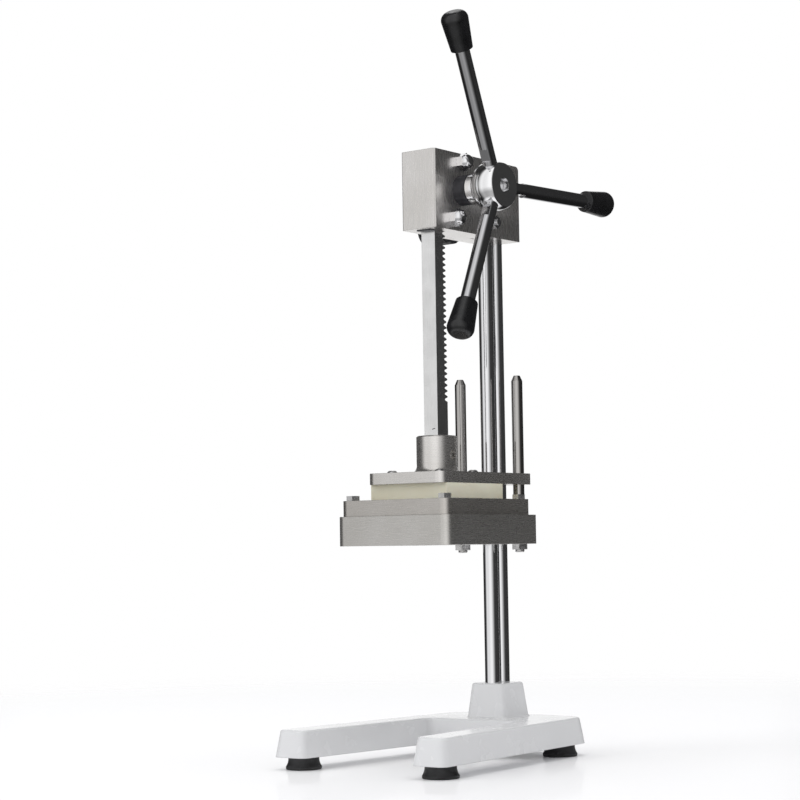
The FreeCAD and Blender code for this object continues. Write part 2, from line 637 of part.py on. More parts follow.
def rack_profile():
    front = -v("rack_front_reach")
    root = rack_tip - 2.25 * module
    half = pitch / 4 - v("tooth_backlash") / 2
    tip_half = half - module * slope
    root_half = half + 1.25 * module * slope
    points = [(front, plate_top), (rack_tip, plate_top)]
    lowest = axis_z - v("teeth_below_axis") * pitch
    points.append((rack_tip, lowest - pitch + tip_half))
    points.append((root, lowest - pitch + root_half))
    for n in range(int(v("teeth_below_axis") + v("teeth_above_axis")) + 1):
        middle = lowest + n * pitch
        points += [(root, middle - root_half), (rack_tip, middle - tip_half),
                   (rack_tip, middle + tip_half), (root, middle + root_half)]
    points += [(root, v("rack_top_height")), (front, v("rack_top_height"))]
    return points


def prism_yz(points, x_low, x_high):
    """A flat outline in the YZ plane drawn out along X."""
    corners = [Vector(x_low, y, z) for y, z in points]
    face = Part.Face(Part.makePolygon(corners + corners[:1]))
    return face.extrude(Vector(x_high - x_low, 0, 0))


piece(shape_feature(prism_yz(rack_profile(), -v("rack_width") / 2, v("rack_width") / 2)), "rack_bar")


# Pinion shaft: the spindle with the gear cut on it
def pinion_outline():
    teeth = int(v("pinion_teeth"))
    pitch_r = module * teeth / 2
    base_r = pitch_r * math.cos(pressure_angle)
    tip_r = pitch_r + module
    root_r = pitch_r - 1.25 * module
    involute = slope - pressure_angle
    half_pitch = math.pi / (2 * teeth) - v("tooth_backlash") / (2 * pitch_r)
    # below the base circle the flank narrows towards this share at the root
    root_share = 0.8

    def half_angle(radius):
        if radius <= base_r:
            depth = (radius - root_r) / (base_r - root_r)
            return (half_pitch + involute) * (root_share + (1 - root_share) * depth)
        angle = math.acos(base_r / radius)
        return half_pitch + involute - (math.tan(angle) - angle)

    radii = [root_r, base_r, (base_r + pitch_r) / 2, pitch_r, (pitch_r + tip_r) / 2, tip_r]
    points = []
    for n in range(teeth):
        # a tooth space faces the rack, which lies on the -Y side
        middle = math.pi + (n + 0.5) * 2 * math.pi / teeth
        flank = [(radius, middle - half_angle(radius)) for radius in radii]
        flank += [(radius, middle + half_angle(radius)) for radius in reversed(radii)]
        points += [(axis_y + r * math.cos(a), axis_z + r * math.sin(a)) for r, a in flank]
    return points


face_half = v("pinion_face_width") / 2
gear = shape_feature(prism_yz(pinion_outline(), -face_half, face_half))
SHAFT_LEFT = "(head_half_width + left_flange_width + circlip_width + shaft_left_stand)"
shaft_long = SHAFT_LEFT + " + hub_end_reach - shaft_bore_recess"
shaft_spot = ("-" + SHAFT_LEFT, AXIS_Y, "axis_height")
shaft_bar = stack(shaft_spot, "x",
                  ("shaft_diameter - 2*shaft_chamfer", "shaft_diameter", "shaft_chamfer"),
                  ("shaft_diameter", "shaft_diameter", shaft_long + " - 2*shaft_chamfer"),
                  ("shaft_diameter", "shaft_diameter - 2*shaft_chamfer", "shaft_chamfer"))
RING_X = "-head_half_width - left_flange_width - circlip_width - circlip_gap"
ring_spot = (RING_X, AXIS_Y, "axis_height")
groove = cut(rod("shaft_diameter + 2*over", "circlip_width", ring_spot, "x"),
             [rod("circlip_groove_diameter", "circlip_width + 2*over", along(ring_spot, "x", "-over"), "x")])
piece(cut(fuse([shaft_bar, gear]), [groove]), "pinion_shaft")
ring_disc = cut(rod("circlip_diameter", "circlip_width", ring_spot, "x"),
                [rod("circlip_groove_diameter", "circlip_width + 2*over",
                     along(ring_spot, "x", "-over"), "x"),
                 box(("circlip_width + 2*over", "circlip_diameter/2 + over", "circlip_mouth"),
                     (RING_X + " - over", AXIS_Y, "axis_height - circlip_mouth/2"))])
piece(ring_disc, "shaft_retaining_ring")

# Head block: it carries the pinion, guides the rack and clamps on the posts
head_box = box(("2*head_half_width", "head_front_reach + head_rear_reach",
                "head_top_height - head_underside"),
               ("-head_half_width", "-head_front_reach", "head_underside"))
front_upright = lambda edge: upright(edge) and edge.BoundBox.YMax < v("over") - v("head_front_reach")
rear_top = lambda edge: (flat_at(v("head_top_height"))(edge)
                         and edge.BoundBox.YMin > v("head_rear_reach") - v("over"))
head_raw = rounded(chamfered(head_box, v("head_front_chamfer"), front_upright), v("head_rear_radius"),
                   rear_top)
CHANNEL_FRONT = "(-rack_front_reach - rack_channel_gap - guide_depth)"
channel = box(("rack_width + 2*rack_channel_gap", "rack_depth + 2*rack_channel_gap + guide_depth",
               "head_top_height - head_underside + 2*over"),
              ("-rack_width/2 - rack_channel_gap", CHANNEL_FRONT, "head_underside - over"))
pinion_room = rod("gear_module*(pinion_teeth + 2) + 2*pinion_pocket_gap",
                  "pinion_face_width + 2*pinion_side_gap",
                  ("-pinion_face_width/2 - pinion_side_gap", AXIS_Y, "axis_height"), "x")
bush_seat = rod("bush_diameter", "2*head_half_width + 2*over",
                ("-head_half_width - over", AXIS_Y, "axis_height"), "x")
post_wells = post_bores("post_top_height - head_underside + over", "head_underside - over", "0")
slit = box(("head_slit_width", "head_slit_reach + head_rear_reach + over",
            "head_top_height - head_underside + 2*over"),
           ("-head_slit_width/2", "-head_slit_reach", "head_underside - over"))
stud_spots = (("-upper_stud_reach", "upper_stud_height"), ("-lower_stud_reach", "lower_stud_height"))
stud_taps = [rod("stud_diameter", "stud_grip + over", ("head_half_width - stud_grip", y, z), "x")
             for y, z in stud_spots]
clamp_spot = ("-head_half_width - over", "-clamp_stud_reach", "clamp_stud_height")
clamp_bore = rod("clamp_stud_diameter + 2*running_gap", "2*head_half_width + 2*over", clamp_spot, "x")
piece(cut(head_raw, [channel, pinion_room, bush_seat, slit, clamp_bore] + post_wells + stud_taps),
      "head_block")
piece(box(("rack_width + 2*rack_channel_gap", "guide_depth",
           "head_top_height - head_underside - 2*guide_drop"),
          ("-rack_width/2 - rack_channel_gap", CHANNEL_FRONT, "head_underside - guide_drop")),
      "rack_guide")


# Bushes of the pinion shaft
BUSH_BODY = "(head_half_width - pinion_face_width/2 - pinion_side_gap)"
RUNNING = "shaft_diameter + 2*running_gap"


def shaft_bush(side, flange):
    axis = "x" if side > 0 else "-x"
    inner = ("%d*(pinion_face_width/2 + pinion_side_gap)" % side, AXIS_Y, "axis_height")
    body = rod("bush_diameter", BUSH_BODY, inner, axis)
    collar = rod("bush_flange_diameter", flange, ("%d*head_half_width" % side, AXIS_Y, "axis_height"), axis)
    bore = rod(RUNNING, "2*head_half_width + bush_flange_width", along(inner, axis, "-over"), axis)
    return cut(fuse([body, collar]), [bore])


piece(shaft_bush(1, "bush_flange_width"), "spindle_bush_right")
piece(shaft_bush(-1, "left_flange_width"), "spindle_bush_left")


# Studs with acorn nuts on the right face of the head
def dome(reach_name, height_name):
    flats = v("acorn_flats")
    rise = v("acorn_dome_height")
    radius = flats / 2
    # the shoulder is a share of the dome's radius and rise, and the crown is a small flat
    shoulder_r = radius * 0.78
    shoulder_rise = rise * 0.62
    crown = 0.5
    spot = (v("head_half_width") + v("acorn_hex_height"), -v(reach_name), v(height_name))
    return turned([(0, -1), (radius, -1), (radius, 0), (shoulder_r, shoulder_rise, crown, rise),
                   (0, rise)], spot, "x")


acorns = []
for reach_name, height_name in (("upper_stud_reach", "upper_stud_height"),
                                ("lower_stud_reach", "lower_stud_height")):
    body = fuse([hexagon("acorn_flats", "acorn_hex_height",
                         ("head_half_width", "-" + reach_name, height_name), "x"),
                 dome(reach_name, height_name)])
    acorns.append(cut(body, [rod("stud_diameter", "stud_stand + over",
                                 ("head_half_width - over", "-" + reach_name, height_name), "x")]))
piece(group(acorns), "acorn_nuts")
piece(group([rod("stud_diameter", "stud_grip + stud_stand", ("head_half_width - stud_grip", y, z), "x")
             for y, z in stud_spots]), "guide_studs")

# Clamp of the head: a cross stud with a hand knob on the left and a nut on the right
knob_r = v("clamp_knob_diameter") / 2
neck_r = v("clamp_knob_neck_diameter") / 2
neck = v("clamp_knob_neck_length")
knob_end = neck + v("clamp_knob_length")
edge_r = v("clamp_knob_edge")
clamp_knob_form = turned(
    [(0, 0), (neck_r, 0), (neck_r, neck - v("clamp_knob_neck_chamfer")), (knob_r - edge_r, neck),
     (knob_r - edge_r * bend, neck + edge_r * bend, knob_r, neck + edge_r), (knob_r, knob_end - edge_r),
     (knob_r - edge_r * bend, knob_end - edge_r * bend, knob_r - edge_r, knob_end), (0, knob_end)],
    (-v("head_half_width") - v("soft_gap"), -v("clamp_stud_reach"), v("clamp_stud_height")), "-x")
KNOB_START = "-head_half_width - soft_gap"
flutes = []
for n in range(int(v("flute_count"))):
    angle = "(%d*360/flute_count)" % n
    flutes.append(rod("flute_diameter", "clamp_knob_length + 2*over",
                      (KNOB_START + " - clamp_knob_neck_length + over",
                       "-clamp_stud_reach + cos(%s)*(clamp_knob_diameter/2 + flute_stand)" % angle,
                       "clamp_stud_height + sin(%s)*(clamp_knob_diameter/2 + flute_stand)" % angle), "-x"))
knob_bore = rod("clamp_stud_diameter + 2*running_gap",
                "clamp_knob_neck_length + clamp_knob_bore_depth + 2*over",
                (KNOB_START + " + over", "-clamp_stud_reach", "clamp_stud_height"), "-x")
piece(cut(clamp_knob_form, flutes + [knob_bore]), "clamp_knob")
stud_start = "head_half_width + soft_gap + clamp_knob_neck_length + clamp_knob_bore_depth"
piece(rod("clamp_stud_diameter", stud_start + " + head_half_width + clamp_nut_height + clamp_stud_stand",
          ("-(%s)" % stud_start, "-clamp_stud_reach", "clamp_stud_height"), "x"), "clamp_stud")
nut_spot = ("head_half_width", "-clamp_stud_reach", "clamp_stud_height")
piece(cut(hexagon("clamp_nut_flats", "clamp_nut_height", nut_spot, "x"),
          [rod("clamp_stud_diameter + 2*running_gap", "clamp_nut_height + 2*over",
               along(nut_spot, "x", "-over"), "x")]), "clamp_nut")

# Star handle: the hub, three arms and their knobs
hub_start = v("head_half_width") + v("bush_flange_width") + v("hub_start_gap")
hub_long = v("hub_end_reach") - hub_start
hub_neck_r = v("hub_neck_diameter") / 2
belly_r = v("hub_belly_diameter") / 2
hub_end_r = v("hub_end_diameter") / 2
neck_long = v("hub_neck_length")
belly_at = (neck_long + hub_long) / 2
neck_chamfer = 1
end_chamfer = 0.6
# the shoulder swells from the neck to the belly, and the cheek falls from the belly to the end
shoulder_r = hub_neck_r + (belly_r - hub_neck_r) * 0.72
shoulder_at = neck_long + (belly_at - neck_long) * 0.4
cheek_r = belly_r * 0.99
cheek_at = (belly_at + hub_long) / 2 + 1
hub_form = turned([(0, 0), (hub_neck_r - neck_chamfer, 0), (hub_neck_r, neck_chamfer),
                   (hub_neck_r, neck_long), (shoulder_r, shoulder_at, belly_r, belly_at),
                   (cheek_r, cheek_at, hub_end_r, hub_long - end_chamfer),
                   (hub_end_r - end_chamfer, hub_long), (0, hub_long)], (hub_start, axis_y, axis_z), "x")
HUB_START = "(head_half_width + bush_flange_width + hub_start_gap)"
hub_bore = rod("shaft_diameter", "hub_end_reach", ("head_half_width", AXIS_Y, "axis_height"), "x")
GRUB_X = HUB_START + " + hub_neck_length/2"
grub_spot = (GRUB_X, AXIS_Y, "axis_height - shaft_diameter/2")
grub_swing = FreeCAD.Placement(Vector(), FreeCAD.Rotation(Vector(1, 0, 0), -v("grub_swing")),
                               Vector(0, axis_y, axis_z))


def swung(item):
    """The item turned about the shaft from straight down towards the front."""
    whole = group([item])
    whole.Placement = grub_swing
    return whole


grub_tap = swung(rod("grub_diameter", "hub_neck_diameter", grub_spot, "-z"))

arm_solids, knob_solids, arm_holes = [], [], []
for n in range(int(v("arm_count"))):
    turn = math.radians(v("arm_angle") + 360 / v("arm_count") * n)
    tilt = math.radians(v("arm_tilt"))
    along_arm = Vector(math.sin(tilt), math.cos(tilt) * math.cos(turn), math.cos(tilt) * math.sin(turn))
    origin = Vector(v("arm_root_reach"), axis_y, axis_z)
    arm_r = v("arm_diameter") / 2
    stud_r = v("knob_stud_diameter") / 2
    root, tip = v("arm_root_radius"), v("arm_tip_radius")
    arm = Part.makeCylinder(arm_r, tip - root, origin + along_arm * root, along_arm)
    stud_long = v("knob_bore_depth") - v("knob_stud_gap")
    stud = Part.makeCylinder(stud_r, stud_long, origin + along_arm * tip, along_arm)
    side_way = along_arm.cross(Vector(1, 0, 0)).normalize()
    flats = []
    for sign in (-1, 1):
        slab = Part.makeBox(v("arm_flat_length"), 2 * arm_r, 2 * arm_r)
        slab.translate(Vector(0, -arm_r, v("arm_flat_width") / 2))
        cross_way = along_arm.cross(side_way)
        matrix = FreeCAD.Matrix(along_arm.x, cross_way.x, side_way.x * sign, 0,
                                along_arm.y, cross_way.y, side_way.y * sign, 0,
                                along_arm.z, cross_way.z, side_way.z * sign, 0, 0, 0, 0, 1)
        start = origin + along_arm * v("arm_flat_start")
        slab = slab.transformGeometry(matrix)
        slab.translate(start)
        flats.append(slab)
    arm_solids.append(arm.fuse(stud).cut(Part.makeCompound(flats)).removeSplitter())
    arm_holes.append(Part.makeCylinder(arm_r, 2 * belly_r, origin + along_arm * root, along_arm))
    small_r = v("knob_small_diameter") / 2
    large_r = v("knob_large_diameter") / 2
    long = v("knob_length")
    rim = v("knob_rim")
    # the arm's end of the knob has a small round lip
    lip = 1
    lip_bend = 0.3
    knob = revolved([(0, 0), (small_r - lip, 0), (small_r - lip_bend, lip_bend, small_r, lip),
                     (large_r, long - rim),
                     (large_r - rim * bend, long - rim * bend, large_r - rim, long), (0, long)])
    knob = knob.cut(Part.makeCylinder(stud_r, v("knob_bore_depth")))
    knob.Placement = FreeCAD.Placement(origin + along_arm * tip,
                                       FreeCAD.Rotation(Vector(0, 0, 1), along_arm))
    knob_solids.append(knob)
hub_cuts = [hub_bore, grub_tap] + [shape_feature(hole) for hole in arm_holes]
piece(cut(hub_form, hub_cuts), "star_hub")
piece(swung(set_screw(grub_spot, "-z", "grub_diameter", "grub_length", "grub_hex")), "hub_grub_screw")
bore_clear = Part.makeCylinder(v("shaft_diameter") / 2, 2 * v("hub_end_reach"), Vector(0, axis_y, axis_z),
                               Vector(1, 0, 0))
for solid, knob, way in zip(arm_solids, knob_solids, ("up", "down", "rear")):
    piece(shape_feature(solid.cut(bore_clear)), "handle_arm_" + way)
    piece(shape_feature(knob), "handle_knob_" + way)

doc.recompute()
faults = []
for item in doc.Objects:
    if any(state in ("Invalid", "Error") for state in item.State):
        faults.append("%s failed: %s" % (item.Name, item.State))
for item in named:
    if item.Shape.isNull() or not item.Shape.isValid() or not item.Shape.Solids:
        faults.append("%s has no sound shape" % item.Label)
if faults:
    raise RuntimeError("; ".join(faults))
os.makedirs("parts", exist_ok=True)
for item in named:
    item.Shape.exportStep("parts/%s.step" % item.Label)
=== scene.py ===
import math

import bpy
from mathutils import Matrix, Vector


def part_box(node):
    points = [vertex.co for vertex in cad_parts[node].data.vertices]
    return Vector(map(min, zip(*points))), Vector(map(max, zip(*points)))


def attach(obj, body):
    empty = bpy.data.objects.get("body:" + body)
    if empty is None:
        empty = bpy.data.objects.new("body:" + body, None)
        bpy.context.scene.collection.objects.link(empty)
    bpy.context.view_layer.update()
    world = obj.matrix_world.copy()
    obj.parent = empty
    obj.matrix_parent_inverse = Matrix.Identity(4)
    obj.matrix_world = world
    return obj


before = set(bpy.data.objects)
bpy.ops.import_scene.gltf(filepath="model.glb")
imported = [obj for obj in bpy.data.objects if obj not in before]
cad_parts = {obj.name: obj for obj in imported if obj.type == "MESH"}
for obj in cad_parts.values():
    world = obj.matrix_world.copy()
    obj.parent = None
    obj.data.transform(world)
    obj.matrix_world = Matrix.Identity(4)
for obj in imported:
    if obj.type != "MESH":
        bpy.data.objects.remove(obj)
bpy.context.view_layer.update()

# Camera, fitted to the photograph: place in metres, angles in degrees
CAMERA_PLACE = Vector((1.3626, -1.8611, 0.2282))
CAMERA_AZIMUTH = 37.72
CAMERA_ELEVATION = -4.10
CAMERA_ROLL = -0.86
CAMERA_LENS_MM = 94.5
SENSOR_MM = 36.0

# Even light on matt surfaces, and soft boxes: name, watts, width and height, place, target
DIFFUSE_LEVEL = 0.80
SOFT_BOXES = (
    ("key_box", 22, (1.6, 2.2), (-1.6, -2.4, 2.0), (0, 0, 0.3)),
    ("top_box", 14, (1.6, 1.6), (0.1, 0.2, 2.6), (0, 0, 0.4)),
)

# What metal sees around the machine: compass angle in degrees from +X, and brightness
SURROUNDINGS = (
    (-180, 0.02), (-156, 0.03), (-142, 0.15), (-132, 0.64), (-120, 0.88), (-104, 0.80), (-90, 0.85),
    (-76, 0.97), (-52, 1.0), (-44, 0.80), (-28, 0.50), (-14, 0.16), (0, 0.04), (100, 0.03), (112, 0.05),
    (118, 1.0), (138, 1.0), (144, 0.04), (180, 0.03),
)

# Where the rise of a direction falls between these values, its brightness sinks towards this share
LOW_RISES = (-0.5, -0.15)
LOW_SHADE = 0.45

# Screw threads, in metres: the ridge rises above the rod and its foot lies inside it
PIN_THREAD_RADIUS = 0.005
PIN_THREAD_PITCH = 0.0015
STUD_THREAD_PITCH = 0.00125
THREAD_START = 0.0007
THREAD_RISE = 0.0003
THREAD_ROOT = 0.0003
# The ridge's half width as a share of the pitch, steps for each turn, and steps in which it grows in
THREAD_HALF_WIDTH = 0.42
THREAD_STEPS = 36
THREAD_GROWTH = 6

# The rack's mark, in metres: how far it lies from the rack's middle and above the socket, and its size
MARK_SHIFT = 0.001
MARK_LENGTH = 0.0045
MARK_RISE = 0.0065
MARK_HEIGHT = 0.0016
MARK_STAND = 0.0001

# The floor's width in metres, its colour, the share and the roughness of its gloss
FLOOR_SIZE = 14
FLOOR_COLOR = (0.955, 0.955, 0.97, 1)
FLOOR_MIRROR = 0.16
FLOOR_GLOSS = 0.09
# The floor fades into the backdrop between these distances from the machine, in metres
FLOOR_FADE = (0.75, 1.7)
FLOOR_FADE_IN_METAL = (0.30, 0.55)

# Faces that meet at less than this angle, in degrees, shade as one round face
SMOOTH_ANGLE = 28
# The middle stretch of a noise that a colour or a roughness follows
NOISE_LOW = 0.35
NOISE_HIGH = 0.65
# Sockets of a mix node that blends colours
MIX_FIRST = 6
MIX_SECOND = 7
MIX_RESULT = 2


def make_camera():
    """A camera that looks along the fitted direction."""
    azimuth, elevation, roll = (math.radians(a) for a in (CAMERA_AZIMUTH, CAMERA_ELEVATION, CAMERA_ROLL))
    back = Vector((math.sin(azimuth) * math.cos(elevation), -math.cos(azimuth) * math.cos(elevation),
                   math.sin(elevation)))
    level = Vector((math.cos(azimuth), math.sin(azimuth), 0))
    rise = back.cross(level)
    right = level * math.cos(roll) + rise * math.sin(roll)
    up = rise * math.cos(roll) - level * math.sin(roll)
    data = bpy.data.cameras.new("camera")
    data.lens = CAMERA_LENS_MM
    data.sensor_width = SENSOR_MM
    camera = bpy.data.objects.new("camera", data)
    camera.matrix_world = Matrix.Translation(CAMERA_PLACE) @ Matrix((right, up, back)).transposed().to_4x4()
    bpy.context.scene.collection.objects.link(camera)
    bpy.context.scene.camera = camera


class Shader:
    """A small helper that builds one node material."""

    def __init__(self, name, color, roughness, metallic=0.0):
        self.material = bpy.data.materials.new(name)
        self.material.use_nodes = True
        self.tree = self.material.node_tree
        self.main = self.tree.nodes["Principled BSDF"]
        self.main.inputs["Base Color"].default_value = (*color, 1)
        self.main.inputs["Roughness"].default_value = roughness
        self.main.inputs["Metallic"].default_value = metallic
        self.color = color
        self.place = self.tree.nodes.new("ShaderNodeTexCoord").outputs["Object"]

    def join(self, start, end):
        """A link from an output to an input."""
        self.tree.links.new(start, end)

    def stretched(self, scale):
        """Object coordinates scaled apart along X, Y and Z."""
        node = self.tree.nodes.new("ShaderNodeMapping")
        node.inputs["Scale"].default_value = scale
        self.join(self.place, node.inputs["Vector"])
        return node.outputs["Vector"]

    def noise(self, scale, detail, stretch=(1, 1, 1)):
        """A noise with so many waves for each metre, drawn out along the axis with the small stretch."""
        node = self.tree.nodes.new("ShaderNodeTexNoise")
        node.inputs["Scale"].default_value = scale
        node.inputs["Detail"].default_value = detail
        self.join(self.stretched(stretch), node.inputs["Vector"])
        return node.outputs["Fac"]

    def ramp(self, value, low, high):
        """A noise turned into a range of greys or colours."""
        node = self.tree.nodes.new("ShaderNodeValToRGB")
        node.color_ramp.elements[0].position = NOISE_LOW
        node.color_ramp.elements[1].position = NOISE_HIGH
        node.color_ramp.elements[0].color = low
        node.color_ramp.elements[1].color = high
        self.join(value, node.inputs["Fac"])
        return node.outputs["Color"]

    def vary_color(self, value, spread, tint=(1, 1, 1)):
        """The colour moves up and down by a share that follows a value."""
        low = [max(0, c * (1 - spread) * t) for c, t in zip(self.color, tint)] + [1]
        high = [min(1, c * (1 + spread)) for c in self.color] + [1]
        self.join(self.ramp(value, low, high), self.main.inputs["Base Color"])

    def vary_roughness(self, value, low, high):
        """The roughness moves between two numbers with a value."""
        grey = self.ramp(value, (low, low, low, 1), (high, high, high, 1))
        self.join(grey, self.main.inputs["Roughness"])

    def relief(self, *layers, edge=0.0004):
        """Bump from (value, strength, depth in metres) layers over softened edges."""
        bevel = self.tree.nodes.new("ShaderNodeBevel")
        bevel.inputs["Radius"].default_value = edge
        normal = bevel.outputs["Normal"]
        for value, strength, depth in layers:
            node = self.tree.nodes.new("ShaderNodeBump")
            node.inputs["Strength"].default_value = strength
            node.inputs["Distance"].default_value = depth
            self.join(value, node.inputs["Height"])
            self.join(normal, node.inputs["Normal"])
            normal = node.outputs["Normal"]
        self.join(normal, self.main.inputs["Normal"])


def white_enamel():
    """Thick gloss enamel on a casting: a faint orange peel and a little unevenness."""
    s = Shader("white_enamel", (0.77, 0.775, 0.79), 0.22)
    s.main.inputs["Coat Weight"].default_value = 0.35
    s.main.inputs["Coat Roughness"].default_value = 0.12
    s.vary_color(s.noise(9, 4), 0.018)
    s.vary_roughness(s.noise(30, 3), 0.18, 0.3)
    s.relief((s.noise(420, 2), 0.03, 0.0002), (s.noise(28, 2), 0.05, 0.0007), edge=0.0014)
    return s.material


def rubber():
    """Matt black rubber with a fine grain."""
    s = Shader("black_rubber", (0.018, 0.018, 0.019), 0.55)
    s.vary_color(s.noise(60, 4), 0.35)
    s.vary_roughness(s.noise(90, 3), 0.45, 0.7)
    s.relief((s.noise(1400, 3), 0.2, 0.0002), edge=0.0006)
    return s.material


def chrome(name="chrome_plate", color=(0.86, 0.86, 0.875)):
    """Bright plate with faint polishing haze."""
    s = Shader(name, color, 0.06, 1.0)
    s.vary_roughness(s.noise(45, 5), 0.04, 0.09)
    s.relief((s.noise(60, 2, (1, 1, 0.3)), 0.010, 0.0002), edge=0.0004)
    return s.material


def satin_alloy(name, along, color, low=0.24, high=0.34, metallic=0.91):
    """Satin machined metal, brushed along the axis with the small stretch."""
    s = Shader(name, color, 0.3, metallic)
    grain = s.noise(1500, 4, along)
    s.vary_color(s.noise(14, 5), 0.05, (0.99, 0.985, 0.97))
    s.vary_roughness(grain, low, high)
    s.relief((grain, 0.028, 0.00006), (s.noise(30, 2), 0.03, 0.0006), edge=0.0007)
    return s.material


def ground_steel(name, along, color=(0.56, 0.56, 0.57)):
    """Ground bare steel, with its grain along the axis with the small stretch."""
    s = Shader(name, color, 0.2, 1.0)
    grain = s.noise(1800, 3, along)
    s.vary_color(s.noise(50, 4), 0.05)
    s.vary_roughness(grain, 0.12, 0.26)
    s.relief((grain, 0.03, 0.00005), edge=0.0003)
    return s.material


def turned_steel():
    """Guide pins: polished, with fine turning rings."""
    s = Shader("turned_steel", (0.50, 0.485, 0.47), 0.08, 1.0)
    rings = s.noise(2600, 2, (0.02, 0.02, 1))
    s.vary_roughness(s.noise(60, 4), 0.04, 0.09)
    s.relief((rings, 0.02, 0.00005), edge=0.0004)
    return s.material


def zinc():
    """Dull zinc plate of screws and nuts."""
    s = Shader("zinc_plate", (0.66, 0.66, 0.67), 0.26, 1.0)
    s.vary_color(s.noise(130, 4), 0.1, (1, 0.99, 0.95))
    s.vary_roughness(s.noise(260, 3), 0.18, 0.4)
    s.relief((s.noise(900, 3), 0.08, 0.0001), edge=0.0003)
    return s.material


def bronze():
    """Sintered bronze with open pores."""
    s = Shader("sintered_bronze", (0.55, 0.38, 0.18), 0.38, 1.0)
    s.vary_color(s.noise(500, 4), 0.2)
    s.vary_roughness(s.noise(300, 3), 0.3, 0.5)
    s.relief((s.noise(1500, 2), 0.15, 0.0001), edge=0.0003)
    return s.material


def nylon():
    """Cream white machined nylon, slightly translucent, with faint cutter marks."""
    s = Shader("cream_nylon", (0.76, 0.735, 0.60), 0.42)
    s.main.inputs["Subsurface Weight"].default_value = 0.15
    s.main.inputs["Subsurface Radius"].default_value = (0.004, 0.003, 0.002)
    s.vary_color(s.noise(18, 4), 0.05, (1, 0.99, 0.95))
    marks = s.noise(900, 2, (0.05, 0.05, 1))
    s.vary_roughness(marks, 0.36, 0.5)
    s.relief((marks, 0.08, 0.0002), edge=0.0008)
    return s.material


def moulded_black(name="moulded_black", roughness=0.28):
    """Black moulded plastic with a soft gloss."""
    s = Shader(name, (0.008, 0.008, 0.009), roughness)
    s.main.inputs["Coat Weight"].default_value = 0.2
    s.main.inputs["Coat Roughness"].default_value = 0.15
    s.vary_color(s.noise(80, 4), 0.3)
    s.vary_roughness(s.noise(200, 3), roughness - 0.06, roughness + 0.12)
    s.relief((s.noise(1100, 3), 0.06, 0.0001), edge=0.0006)
    return s.material


def dark_bush():
    """Dark grey turned bushes with fine rings."""
    s = Shader("dark_bush", (0.045, 0.045, 0.052), 0.34, 0.35)
    rings = s.noise(1800, 2, (1, 0.03, 0.03))
    s.vary_color(s.noise(120, 4), 0.25)
    s.vary_roughness(rings, 0.28, 0.45)
    s.relief((rings, 0.08, 0.0001), edge=0.0005)
    return s.material


def dress(node_names, material):
    """Gives CAD nodes one material, on every slot that they have."""
    for name in node_names:
        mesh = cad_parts[name].data
        if not mesh.materials:
            mesh.materials.append(material)
        for n in range(len(mesh.materials)):
            mesh.materials[n] = material


def starting(*stems):
    """The names of the CAD nodes that start with a stem."""
    return [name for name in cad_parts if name.startswith(stems)]


def smooth_curves():
    """Round faces shade smooth and flat ones stay flat."""
    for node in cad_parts.values():
        for polygon in node.data.polygons:
            polygon.use_smooth = True
        node.data.set_sharp_from_angle(angle=math.radians(SMOOTH_ANGLE))


def dress_all():
    """Every piece gets its material, and the details of the same metal are added to it."""
    zinc_plate = zinc()
    bush_black = dark_bush()
    dress(["base_casting"], white_enamel())
    dress(starting("rubber_foot"), rubber())
    dress(["post_front", "post_rear", "acorn_nuts", "clamp_nut", "clamp_stud", "guide_studs"], chrome())
    # The hub and the arms share one chrome plate. The hub's brighter colour is a painted highlight, and the
    # arms' darker colour is painted shade.
    dress(["star_hub"], chrome("chrome_painted_highlight", (0.97, 0.97, 0.98)))
    dress(starting("handle_arm"), chrome("chrome_painted_shade", (0.62, 0.62, 0.635)))
    dress(["head_block"], satin_alloy("head_metal", (1, 1, 0.04), (0.86, 0.84, 0.825), metallic=0.96))
    dress(["press_plate"], satin_alloy("plate_metal", (0.04, 0.04, 1), (0.76, 0.74, 0.72), 0.2, 0.3))
    dress(["blade_frame"], satin_alloy("frame_metal", (0.04, 0.04, 1), (0.60, 0.575, 0.55)))
    dress(["blade_table", "table_clamp_cap"],
          satin_alloy("table_metal", (0.04, 0.04, 1), (0.65, 0.635, 0.615)))
    dress(["rack_bar"], ground_steel("rack_steel", (1, 1, 0.03), (0.89, 0.89, 0.89)))
    dress(["pinion_shaft"], ground_steel("shaft_steel", (0.03, 1, 1)))
    dress(["blades_lower", "blades_upper"], ground_steel("blade_steel", (0.05, 0.05, 1), (0.68, 0.68, 0.69)))
    dress(starting("guide_pin_l", "guide_pin_r"), turned_steel())
    dress(["foot_screws", "post_lock_screws", "table_clamp_screws", "blade_frame_bolts", "guide_pin_nuts",
           "rack_set_screw", "pusher_screws", "hub_grub_screw", "shaft_retaining_ring"], zinc_plate)
    dress(["plate_bushes"], bronze())
    dress(["pusher_block"], nylon())
    dress(starting("handle_knob"), moulded_black())
    dress(["clamp_knob"], moulded_black("knob_black", 0.36))
    dress(["spindle_bush_right", "spindle_bush_left", "rack_guide"], bush_black)
    threads(zinc_plate)
    rack_mark(bush_black)


def add_piece(name, points, faces, body, material):
    """A modelled detail that moves with a body."""
    mesh = bpy.data.meshes.new(name)
    mesh.from_pydata(points, [], faces)
    mesh.materials.append(material)
    detail = bpy.data.objects.new(name, mesh)
    bpy.context.scene.collection.objects.link(detail)
    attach(detail, body)


